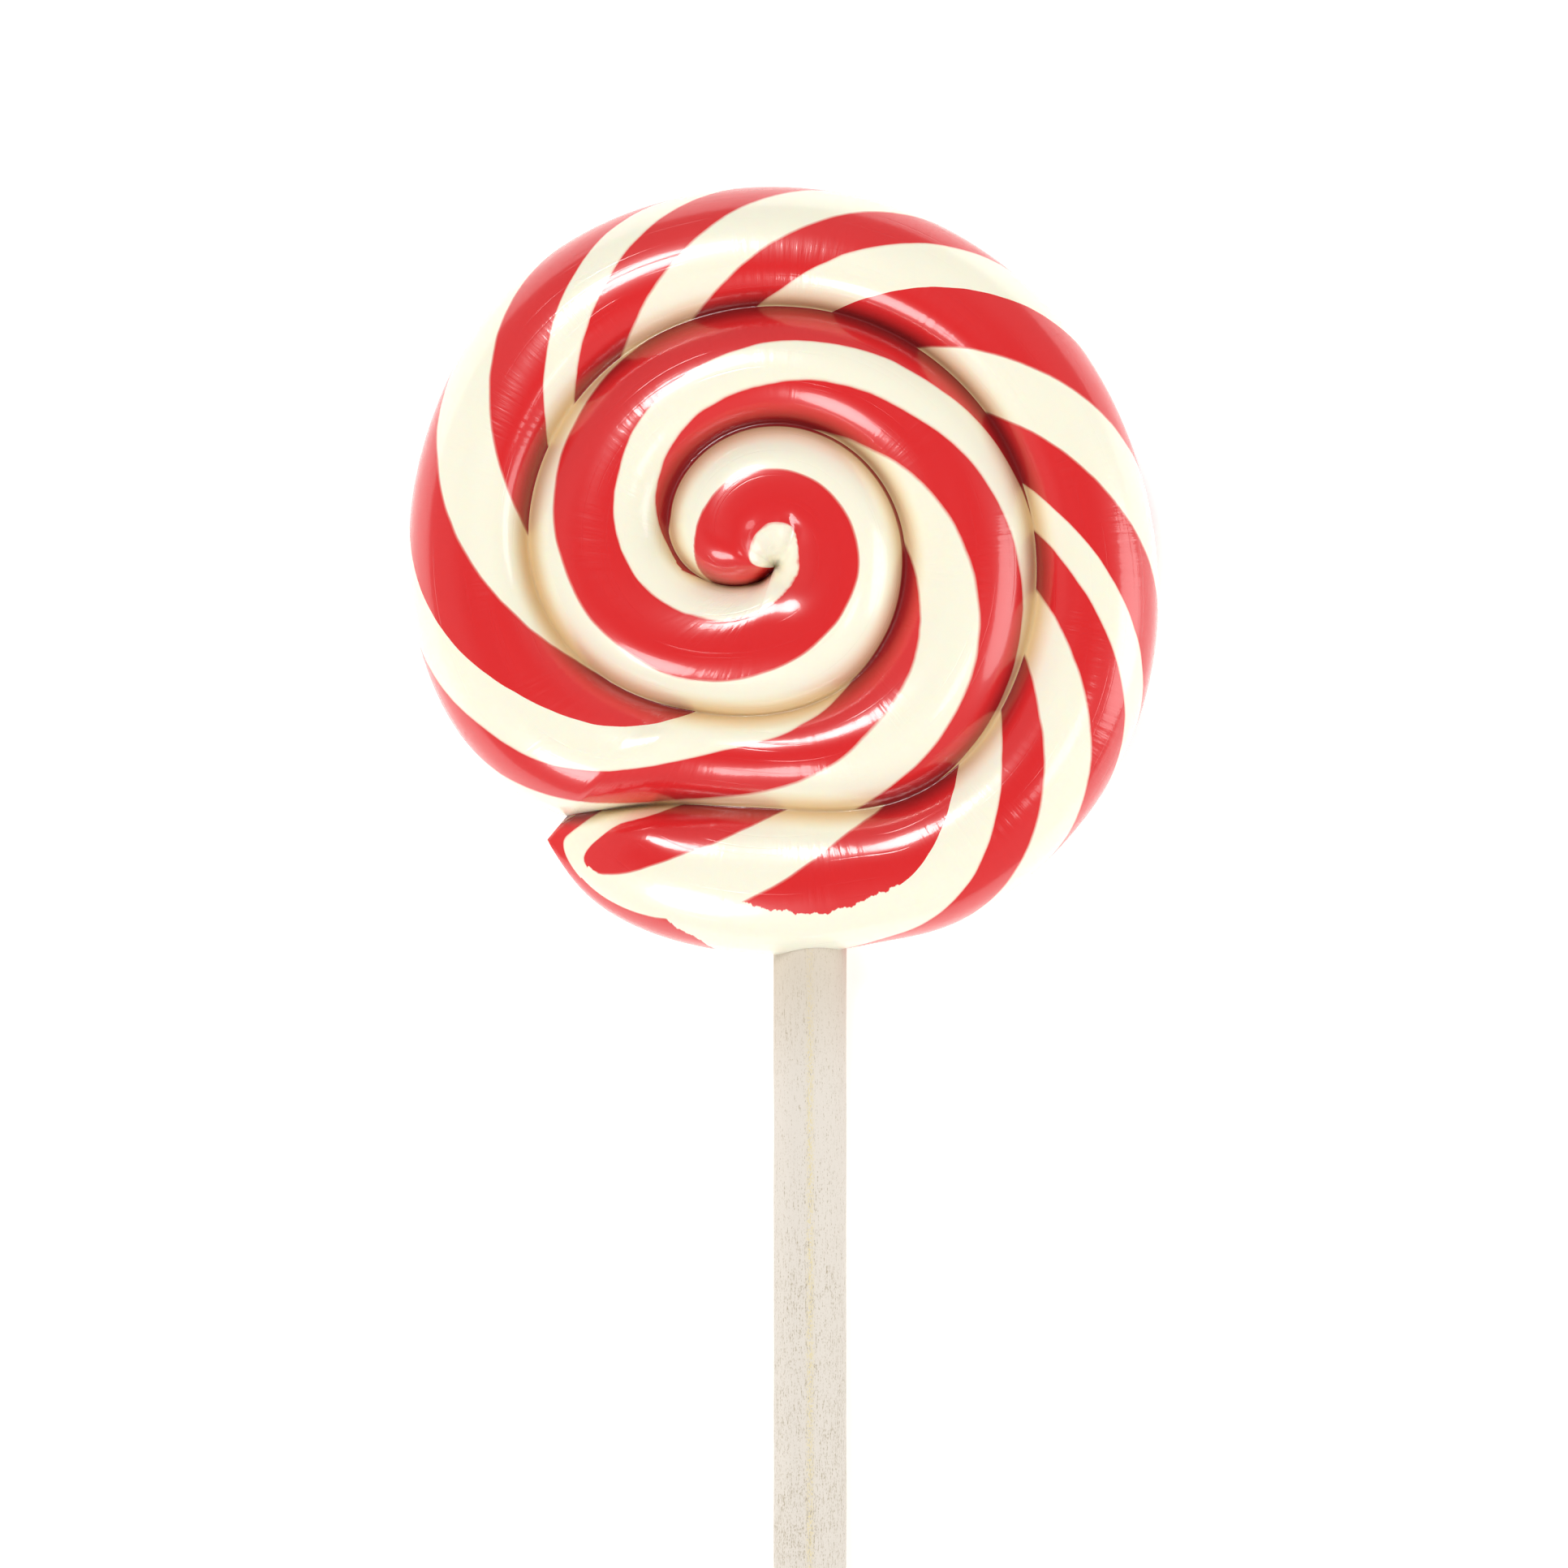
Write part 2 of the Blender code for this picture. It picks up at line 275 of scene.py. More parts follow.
# one value per station of everything that shapes the rope there
def stationValues():
    first = coil["firstSeam"] - int(fullTurn)
    angles = np.arange(first, coil["tailEnd"] + 1, coil["stationStep"], dtype=float)
    seamed = angles >= coil["firstSeam"]
    inner = np.where(seamed, seamRadius(angles), 0.0)
    outer = seamRadius(angles + fullTurn)
    width = outer - inner
    free = opening(angles + fullTurn)
    flank = np.minimum(
        mixed(coil["coveredFlank"], coil["freeFlank"], free),
        mixed(coil["coveredShare"], coil["freeShare"], free) * width,
    )
    more, middle, spread = coil["inwardCrest"]
    flank = flank + more * np.exp(-(((angles - middle) / spread) ** 2))
    crest = outer - flank
    outerLow = seamTop(angles + fullTurn)
    top = mixed(coil["rimHeight"], fullCrest(angles), pinch(angles))
    top = mixed(outerLow, top, softRamp(width / coil["startWidth"]))
    innerRound = np.minimum(coil["backRound"], coil["backRoundShare"] * width)
    outerRound = np.minimum(
        mixed(coil["backRound"], coil["backFreeRound"], free),
        mixed(coil["backRoundShare"], 0.5, free) * width,
    )
    rounding = softRamp((angles - coil["roundingStart"]) / coil["roundingLength"])
    edges = stripEdges(angles)
    fingerPast = twist["fingerTaper"] * np.maximum(angles - twist["fingerStart"], 0.0)
    rimHold = twist["rimHold"] * np.maximum(angles - twist["rimHoldStart"], 0.0)
    share, middle, spread = twist["tighter"]
    tightness = share * np.exp(-(((angles - middle) / spread) ** 2))
    stepLengths = np.hypot(np.gradient(crest), crest * math.radians(coil["stationStep"]))
    return {
        "turn": np.radians(angles),
        "inner": inner * mm,
        "outer": outer * mm,
        "crest": crest * mm,
        "innerReach": (crest - inner) * mm,
        "outerReach": flank * mm,
        "innerLow": seamTop(np.maximum(angles, coil["firstSeam"])) * mm,
        "outerLow": outerLow * mm,
        "top": top * mm,
        "outerLean": np.radians(mixed(coil["seamLean"], coil["rimLean"], free)),
        "outerPower": 2.0 / mixed(coil["startRoundness"], coil["ropeRoundness"], rounding),
        "innerRound": innerRound * mm,
        "outerRound": outerRound * mm,
        "innerBack": np.where(seamed, seamBack(angles), 0.0) * mm,
        "outerBack": seamBack(angles + fullTurn) * mm,
        "innerClear": np.where(seamed, 0.0, coil["startWidth"]) * mm,
        "outerClear": softRamp(free * 3.0 - 2.0) * coil["startWidth"] * mm,
        "land": coil["rimHeight"] * (1.0 - pinch(angles)) * mm,
        "axis": axisRadius(angles) * mm,
        "outerEdge": np.radians(edges["outerEdge"]),
        "innerEdge": np.radians(edges["innerEdge"]),
        "nextEdge": np.radians(edges["nextEdge"]),
        "outsideStretch": edges["outsideStretch"],
        "fingerPast": np.radians(fingerPast),
        "rimHold": np.radians(rimHold),
        "tightness": tightness,
        "spreadInner": np.radians(drawnThrough(angles, twist["spreadInner"], twist["spreadEvening"])),
        "spreadOuter": np.radians(drawnThrough(angles, twist["spreadOuter"], twist["spreadEvening"])),
        "length": np.cumsum(stepLengths) * mm,
    }


# a line of points, one per station, that carries the station values to the node tree
def buildGuide(values):
    count = len(values["turn"])
    mesh = bpy.data.meshes.new("coilGuide")
    mesh.from_pydata([(0.0, 0.0, 0.0)] * count, [(i, i + 1) for i in range(count - 1)], [])
    for name, column in values.items():
        attribute = mesh.attributes.new(name, "FLOAT", "POINT")
        attribute.data.foreach_set("value", column.astype(np.float32))
    guide = bpy.data.objects.new("coilGuide", mesh)
    bpy.context.scene.collection.objects.link(guide)
    return guide


# rows of name, operation, sources: each makes one maths node, from earlier rows, guide values or numbers
shownRows = (
    ("outward", "GREATER_THAN", ("across", 0.5)),
    ("leanGap", "SUBTRACT", ("outerLean", "Seam Lean")),
    ("fullLean", "MULTIPLY_ADD", ("outward", "leanGap", "Seam Lean")),
    ("leanShare", "MULTIPLY_ADD", ("across", 2.0, -1.0)),
    ("lean", "MULTIPLY", ("leanShare", "fullLean")),
    ("sine", "SINE", ("lean",)),
    ("fullSine", "SINE", ("fullLean",)),
    ("sideways", "DIVIDE", ("sine", "fullSine")),
    ("cosine", "COSINE", ("lean",)),
    ("fullCosine", "COSINE", ("fullLean",)),
    ("cosineLeft", "SUBTRACT", ("cosine", "fullCosine")),
    ("cosineSpan", "SUBTRACT", (1.0, "fullCosine")),
    ("uprightRaw", "DIVIDE", ("cosineLeft", "cosineSpan")),
    ("upright", "MAXIMUM", ("uprightRaw", 0.0)),
    ("reachGap", "SUBTRACT", ("outerReach", "innerReach")),
    ("reach", "MULTIPLY_ADD", ("outward", "reachGap", "innerReach")),
    ("lowGap", "SUBTRACT", ("outerLow", "innerLow")),
    ("low", "MULTIPLY_ADD", ("outward", "lowGap", "innerLow")),
    ("spread", "ABSOLUTE", ("sideways",)),
    ("powerGap", "SUBTRACT", ("outerPower", 1.0)),
    ("power", "MULTIPLY_ADD", ("outward", "powerGap", 1.0)),
    ("shapedSpread", "POWER", ("spread", "power")),
    ("direction", "SIGN", ("sideways",)),
    ("shapedSideways", "MULTIPLY", ("shapedSpread", "direction")),
    ("radius", "MULTIPLY_ADD", ("shapedSideways", "reach", "crest")),
    ("rise", "SUBTRACT", ("top", "low")),
    ("height", "MULTIPLY_ADD", ("upright", "rise", "low")),
    ("offAxis", "SUBTRACT", ("radius", "axis")),
    ("offShare", "DIVIDE", ("offAxis", "Rope Radius")),
    ("offAbove", "MAXIMUM", ("offShare", -1.0)),
    ("offWithin", "MINIMUM", ("offAbove", 1.0)),
    ("aroundWithin", "ARCSINE", ("offWithin",)),
    ("aroundSquare", "MULTIPLY", ("aroundWithin", "aroundWithin")),
    ("squareShare", "MULTIPLY_ADD", ("aroundSquare", -4.0 / math.pi ** 2, 1.0)),
    ("stretch", "MULTIPLY_ADD", ("squareShare", "tightness", 1.0)),
    ("aroundStretched", "MULTIPLY", ("aroundWithin", "stretch")),
    ("offBeyondAny", "SUBTRACT", ("offShare", "offWithin")),
    ("offBeyond", "MINIMUM", ("offBeyondAny", 0.0)),
    ("around", "ADD", ("aroundStretched", "offBeyond")),
)
backRows = (
    ("fromInnerRaw", "MULTIPLY", ("across", "columnStretch")),
    ("fromInner", "MINIMUM", ("fromInnerRaw", math.pi / 2.0)),
    ("mirrored", "SUBTRACT", (1.0, "across")),
    ("fromOuterRaw", "MULTIPLY", ("mirrored", "columnStretch")),
    ("fromOuter", "MINIMUM", ("fromOuterRaw", math.pi / 2.0)),
    ("innerCosine", "COSINE", ("fromInner",)),
    ("innerSine", "SINE", ("fromInner",)),
    ("outerCosine", "COSINE", ("fromOuter",)),
    ("outerSine", "SINE", ("fromOuter",)),
    ("innerGone", "SUBTRACT", (1.0, "innerCosine")),
    ("outerGone", "SUBTRACT", ("outerCosine", 1.0)),
    ("radiusInner", "MULTIPLY_ADD", ("innerGone", "innerRound", "inner")),
    ("radiusOuter", "MULTIPLY_ADD", ("outerGone", "outerRound", "outer")),
    ("innerDrop", "SUBTRACT", ("land", "innerBack")),
    ("outerDrop", "SUBTRACT", ("land", "outerBack")),
    ("heightInner", "MULTIPLY_ADD", ("innerSine", "innerDrop", "innerBack")),
    ("heightOuter", "MULTIPLY_ADD", ("outerSine", "outerDrop", "outerBack")),
    ("outward", "GREATER_THAN", ("across", 0.5)),
    ("radiusGap", "SUBTRACT", ("radiusOuter", "radiusInner")),
    ("radius", "MULTIPLY_ADD", ("outward", "radiusGap", "radiusInner")),
    ("heightGap", "SUBTRACT", ("heightOuter", "heightInner")),
    ("height", "MULTIPLY_ADD", ("outward", "heightGap", "heightInner")),
    ("offAxis", "SUBTRACT", ("radius", "axis")),
    ("offShare", "DIVIDE", ("offAxis", "Rope Radius")),
    ("offAbove", "MAXIMUM", ("offShare", -1.0)),
    ("offWithin", "MINIMUM", ("offAbove", 1.0)),
    ("shownAround", "ARCSINE", ("offWithin",)),
    ("around", "SUBTRACT", (math.pi, "shownAround")),
)
rimSlope = 1.0 / math.radians(twist["rimFull"] - twist["rimStart"])
placeRows = (
    ("outsideRaw", "SUBTRACT", ("around", "outerEdge")),
    ("outsideShown", "MAXIMUM", ("outsideRaw", 0.0)),
    ("outside", "MULTIPLY", ("outsideShown", "outsideStretch")),
    ("redSize", "SUBTRACT", ("outerEdge", "innerEdge")),
    ("redRaw", "DIVIDE", ("outsideRaw", "redSize")),
    ("redAbove", "MAXIMUM", ("redRaw", -1.0)),
    ("redShare", "MINIMUM", ("redAbove", 0.0)),
    ("creamSize", "SUBTRACT", ("innerEdge", "nextEdge")),
    ("creamOff", "SUBTRACT", ("around", "innerEdge")),
    ("creamRaw", "DIVIDE", ("creamOff", "creamSize")),
    ("creamAbove", "MAXIMUM", ("creamRaw", -1.0)),
    ("creamShare", "MINIMUM", ("creamAbove", 0.0)),
    ("insideRaw", "SUBTRACT", ("nextEdge", "around")),
    ("inside", "MAXIMUM", ("insideRaw", 0.0)),
    ("fromStart", "SUBTRACT", ("Red Start", "outside")),
    ("redPart", "MULTIPLY", ("redShare", "Red Width")),
    ("afterRed", "SUBTRACT", ("fromStart", "redPart")),
    ("creamPart", "MULTIPLY", ("creamShare", "Cream Width")),
    ("afterCream", "SUBTRACT", ("afterRed", "creamPart")),
    ("phase", "ADD", ("afterCream", "inside")),
    ("beyondTip", "GREATER_THAN", ("faceStation", "Tip Station")),
    ("rimRaw", "MULTIPLY_ADD", ("around", rimSlope, -math.radians(twist["rimStart"]) * rimSlope)),
    ("rimAbove", "MAXIMUM", ("rimRaw", 0.0)),
    ("rimShare", "MINIMUM", ("rimAbove", 1.0)),
    ("rimPulled", "MULTIPLY", ("rimShare", "rimHold")),
    ("holdLeft", "MULTIPLY_ADD", ("beyondTip", twist["tipHoldShare"] - 1.0, 1.0)),
    ("rimShift", "MULTIPLY", ("rimPulled", "holdLeft")),
    ("heldPhase", "SUBTRACT", ("phase", "rimShift")),
    ("offFinger", "SUBTRACT", ("heldPhase", "Finger Phase")),
    ("offSquare", "MULTIPLY", ("offFinger", "offFinger")),
    ("fingerSquare", "MULTIPLY_ADD", ("fingerPast", "fingerPast", "offSquare")),
    ("fingerGap", "SQRT", ("fingerSquare",)),
    ("fingerSign", "SIGN", ("offFinger",)),
    ("tipSide", "MULTIPLY_ADD", ("beyondTip", 2.0, -1.0)),
    ("fingerSide", "MAXIMUM", ("fingerSign", "tipSide")),
    ("fingerPhase", "MULTIPLY_ADD", ("fingerGap", "fingerSide", "Finger Phase")),
    ("stripe", "DIVIDE", ("fingerPhase", 2.0 * math.pi)),
    ("fromSpreadInner", "SUBTRACT", ("around", "spreadInner")),
    ("toSpreadOuter", "SUBTRACT", ("spreadOuter", "around")),
    ("creamSpread", "MINIMUM", ("fromSpreadInner", "toSpreadOuter")),
    ("girth", "MULTIPLY", ("around", "Rope Radius")),
    ("toInner", "SUBTRACT", ("radius", "inner")),
    ("innerGap", "ADD", ("toInner", "innerClear")),
    ("toOuter", "SUBTRACT", ("outer", "radius")),
    ("outerGap", "ADD", ("toOuter", "outerClear")),
    ("seamGap", "MINIMUM", ("innerGap", "outerGap")),
    ("sineTurn", "SINE", ("turn",)),
    ("cosineTurn", "COSINE", ("turn",)),
    ("x", "MULTIPLY", ("radius", "sineTurn")),
    ("y", "MULTIPLY", ("radius", "cosineTurn")),
)


# inputs of the tree that the rows read by name
ropeInputs = ("Rope Radius", "Seam Lean", "Red Start", "Red Width", "Cream Width", "Finger Phase", "Tip Station")


def addRows(tree, rows, fields):
    for name, operation, sources in rows:
        values = [fields[source] if isinstance(source, str) else source for source in sources]
        node = addNode(tree, "ShaderNodeMath", {"operation": operation}, dict(enumerate(values)))
        fields[name] = node.outputs[0]


# one side of the rope: a flat grid of stations by columns, bent to the section of each station
def addSide(tree, source, rows, columns, valueNames):
    stations = source.outputs["Stations"]
    grid = addNode(tree, "GeometryNodeMeshGrid", links={
        "Size X": 1.0, "Size Y": 1.0, "Vertices X": stations, "Vertices Y": columns})
    position = addNode(tree, "GeometryNodeInputPosition").outputs[0]
    parts = addNode(tree, "ShaderNodeSeparateXYZ", links={0: position})
    fields = {name: source.outputs[name] for name in ropeInputs}
    fields.update(columns=columns, stations=stations, gridX=parts.outputs[0], gridY=parts.outputs[1])
    addRows(tree, (
        ("across", "ADD", ("gridY", 0.5)),
        ("halfColumns", "MULTIPLY_ADD", ("columns", 0.5, -1.0)),
        ("columnSpans", "SUBTRACT", ("columns", 1.0)),
        ("columnShare", "DIVIDE", ("columnSpans", "halfColumns")),
        ("columnStretch", "MULTIPLY", ("columnShare", math.pi / 2.0)),
        ("lastStation", "SUBTRACT", ("stations", 1.0)),
        ("along", "ADD", ("gridX", 0.5)),
        ("stationRaw", "MULTIPLY", ("along", "lastStation")),
        ("station", "ROUND", ("stationRaw",)),
    ), fields)
    for name in valueNames:
        named = addNode(tree, "GeometryNodeInputNamedAttribute", {"data_type": "FLOAT"}, {"Name": name})
        sample = addNode(tree, "GeometryNodeSampleIndex", {"data_type": "FLOAT", "domain": "POINT"}, {
            "Geometry": source.outputs["Guide"], "Value": named.outputs[0], "Index": fields["station"]})
        fields[name] = sample.outputs[0]
    # one value for all corners of a face, so that the strips can change sides between two faces
    whole = addNode(tree, "GeometryNodeFieldOnDomain", {"data_type": "FLOAT", "domain": "FACE"}, {
        "Value": fields["station"]})
    fields["faceStation"] = whole.outputs[0]
    addRows(tree, rows, fields)
    addRows(tree, placeRows, fields)
    mesh = grid.outputs["Mesh"]
    for mapName, pair in (("stripes", ("stripe", "length")), ("skin", ("length", "girth"))):
        value = addNode(tree, "ShaderNodeCombineXYZ", links={0: fields[pair[0]], 1: fields[pair[1]]})
        kept = {"data_type": "FLOAT2", "domain": "CORNER"}
        store = addNode(tree, "GeometryNodeStoreNamedAttribute", kept, {
            "Geometry": mesh, "Name": mapName, "Value": value.outputs[0]})
        mesh = store.outputs[0]
    for name in ("seamGap", "creamSpread"):
        kept = {"data_type": "FLOAT", "domain": "POINT"}
        store = addNode(tree, "GeometryNodeStoreNamedAttribute", kept, {
            "Geometry": mesh, "Name": name, "Value": fields[name]})
        mesh = store.outputs[0]
    place = addNode(tree, "ShaderNodeCombineXYZ", links={
        0: fields["x"], 1: fields["y"], 2: fields["height"]})
    moved = addNode(tree, "GeometryNodeSetPosition", links={"Geometry": mesh, "Position": place.outputs[0]})
    return moved.outputs[0]


def buildCoilTree(valueNames, material):
    tree = bpy.data.node_groups.new("coiledCandyRope", "GeometryNodeTree")
    tree.interface.new_socket(name="Guide", in_out="INPUT", socket_type="NodeSocketGeometry")
    kinds = (("Int", ("Stations", "Shown Columns", "Back Columns", "Fusing Steps", "Seed")),
             ("Float", ropeInputs + ("Wave Depth", "Waves Per Metre", "Fused Width", "Merge Gap")))
    for kind, names in kinds:
        for name in names:
            tree.interface.new_socket(name=name, in_out="INPUT", socket_type="NodeSocket" + kind)
    tree.interface.new_socket(name="Rope", in_out="OUTPUT", socket_type="NodeSocketGeometry")
    source = addNode(tree, "NodeGroupInput")
    shown = addSide(tree, source, shownRows, source.outputs["Shown Columns"], valueNames)
    back = addSide(tree, source, backRows, source.outputs["Back Columns"], valueNames)
    turned = addNode(tree, "GeometryNodeFlipFaces", links={"Mesh": back})
    joined = addNode(tree, "GeometryNodeJoinGeometry")
    tree.links.new(turned.outputs[0], joined.inputs[0])
    tree.links.new(shown, joined.inputs[0])
    # neighbouring turns meet in one line of points along each seam
    merged = addNode(tree, "GeometryNodeMergeByDistance", links={
        "Geometry": joined.outputs[0], "Distance": source.outputs["Merge Gap"]})
    # the turns have fused along the seams, which rounds the bottom of each groove
    gap = addNode(tree, "GeometryNodeInputNamedAttribute", {"data_type": "FLOAT"}, {"Name": "seamGap"})
    nearSeam = addNode(tree, "ShaderNodeMapRange", {}, {
        "Value": gap.outputs[0], "From Min": 0.0, "From Max": source.outputs["Fused Width"],
        "To Min": 1.0, "To Max": 0.0})
    spot = addNode(tree, "GeometryNodeInputPosition").outputs[0]
    rounded = addNode(tree, "GeometryNodeBlurAttribute", {"data_type": "FLOAT_VECTOR"}, {
        "Value": spot, "Iterations": source.outputs["Fusing Steps"], "Weight": nearSeam.outputs[0]})
    fused = addNode(tree, "GeometryNodeSetPosition", links={
        "Geometry": merged.outputs[0], "Position": rounded.outputs[0]})
    # the hand-rolled rope is never quite even
    position = addNode(tree, "GeometryNodeInputPosition").outputs[0]
    normal = addNode(tree, "GeometryNodeInputNormal").outputs[0]
    waves = addNode(tree, "ShaderNodeTexNoise", {"noise_dimensions": "4D"}, {
        "Vector": position, "W": source.outputs["Seed"], "Scale": source.outputs["Waves Per Metre"],
        "Detail": 1.0, "Roughness": 0.4})
    centred = addNode(tree, "ShaderNodeMath", {"operation": "SUBTRACT"}, {0: waves.outputs[0], 1: 0.5})
    depth = addNode(tree, "ShaderNodeMath", {"operation": "MULTIPLY"}, {
        0: centred.outputs[0], 1: source.outputs["Wave Depth"]})
    offset = addNode(tree, "ShaderNodeVectorMath", {"operation": "SCALE"}, {
        0: normal, "Scale": depth.outputs[0]})
    uneven = addNode(tree, "GeometryNodeSetPosition", links={
        "Geometry": fused.outputs[0], "Offset": offset.outputs[0]})
    smooth = addNode(tree, "GeometryNodeSetShadeSmooth", links={
        "Geometry": uneven.outputs[0], "Shade Smooth": True})
    real = addNode(tree, "GeometryNodeRealizeInstances", links={0: smooth.outputs[0]})
    coloured = addNode(tree, "GeometryNodeSetMaterial", links={
        "Geometry": real.outputs[0], "Material": material})
    addNode(tree, "NodeGroupOutput", links={0: coloured.outputs[0]})
    return tree


# evaluates the tree on its guide and keeps the result as a plain mesh
def applyTree(thing, tree, inputs, name):
    modifier = thing.modifiers.new("nodes", "NODES")
    modifier.node_group = tree
    for item in tree.interface.items_tree:
        if item.in_out == "INPUT" and item.name in inputs:
            modifier[item.identifier] = inputs[item.name]
    graph = bpy.context.evaluated_depsgraph_get()
    mesh = bpy.data.meshes.new_from_object(thing.evaluated_get(graph))
    thing.modifiers.remove(modifier)
    bpy.data.objects.remove(thing, do_unlink=True)
    mesh.name = name
    piece = bpy.data.objects.new(name, mesh)
    bpy.context.scene.collection.objects.link(piece)
    return piece


# The middle of the coil: the rope's start was folded in on itself, which leaves a pit and a shallow fold.
# Each path is a row of points in mm with the depth there. At the width, about a third of the depth is left.
dents = {
    "pit": {"width": 0.42, "path": ((0.35, 0.6, 0.1), (0.05, 0.2, 0.9), (-0.55, -0.45, 1.3),
                                    (-1.3, -1.15, 0.9), (-2.2, -1.73, 0.2), (-2.8, -1.9, 0.0))},
    "fold": {"width": 0.4, "path": ((0.2, 0.4, 0.3), (0.75, 1.0, 0.4), (1.25, 1.85, 0.35),
                                    (1.5, 2.9, 0.25), (1.1, 3.75, 0.12), (0.4, 3.9, 0.0))},
    "reach": 6.0,
}


def pressDents(mesh):
    for name in ("pit", "fold"):
        path = [Vector(row[:2]) for row in dents[name]["path"]]
        depths = [row[2] for row in dents[name]["path"]]
        for vertex in mesh.vertices:
            spot = vertex.co.xy / mm
            if spot.length > dents["reach"] or vertex.co.z < coil["rimHeight"] * mm:
                continue
            nearest = dents["reach"]
            for place, (start, end) in enumerate(zip(path, path[1:])):
                span = end - start
                share = min(max((spot - start).dot(span) / span.length_squared, 0.0), 1.0)
                gap = (spot - start - span * share).length
                if gap < nearest:
                    nearest = gap
                    depth = mixed(depths[place], depths[place + 1], share)
            vertex.co.z -= depth * mm * math.exp(-((nearest / dents[name]["width"]) ** 2))


# closes the small open loops at the very start of the rope and at its cut tail
def closeEnds(mesh):
    work = bmesh.new()
    work.from_mesh(mesh)
    openEdges = [edge for edge in work.edges if edge.is_boundary]
    filled = bmesh.ops.holes_fill(work, edges=openEdges, sides=0)["faces"]
    for layer in work.loops.layers.uv.values():
        for face in filled:
            for loop in face.loops:
                known = [other for other in loop.vert.link_loops if other.face not in filled]
                if known:
                    loop[layer].uv = known[0][layer].uv
    for face in filled:
        face.smooth = True
    stillOpen = sum(1 for edge in work.edges if not edge.is_manifold)
    work.to_mesh(mesh)
    work.free()
    return len(filled), stillOpen


# Boiled sugar, pulled, striped and rolled by hand: saturated clear gloss over dense colour. Light soaks in
# a little, and the skin has fine cross wrinkles from twisting and hairline scratches along the rope.
boiledSugar = {
    "red": "E02A2C",
    "cream": "FFF9E2",
    # painted shade for the seams: darker colours, and in mm how far from a seam they reach and where they are
    # full
    "redSeamShade": "8C2223",
    "creamSeamShade": "E2BE88",
    "seamShadeWidth": 1.8,
    "seamShadeFloor": -0.3,
    # degrees of the rope's girth: width of a strip's soft edge, and how far the edges wander
    "edge": 1.2,
    "wander": 3.0,
    "wanderSpacing": 4.0,
    "roughness": 0.27,
    "coatRoughness": 0.09,
    "ior": 1.5,
    "specular": 0.5,
    "coat": 0.8,
    "subsurface": 0.35,
    "subsurfaceDepth": 1.8,
    "wrinkleSpacing": 0.6,
    "wrinkleLength": 7.0,
    "wrinkleDepth": 0.035,
    "wrinklePatch": 9.0,
    "patchLevels": (0.3, 0.75),
    # distances along the rope, and the share of the wrinkles before the first
    "wrinklesStart": 10.0,
    "wrinklesFull": 45.0,
    "smoothShare": 0.08,
    "scratchSpacing": 0.25,
    "scratchLength": 14.0,
    "scratchLevels": (0.66, 0.82),
    "scratchDepth": 0.24,
    # how far the torn edge reaches and how soft it is, in radians round the rope
    "raggedness": 0.14,
    "raggedEdge": 0.02,
}


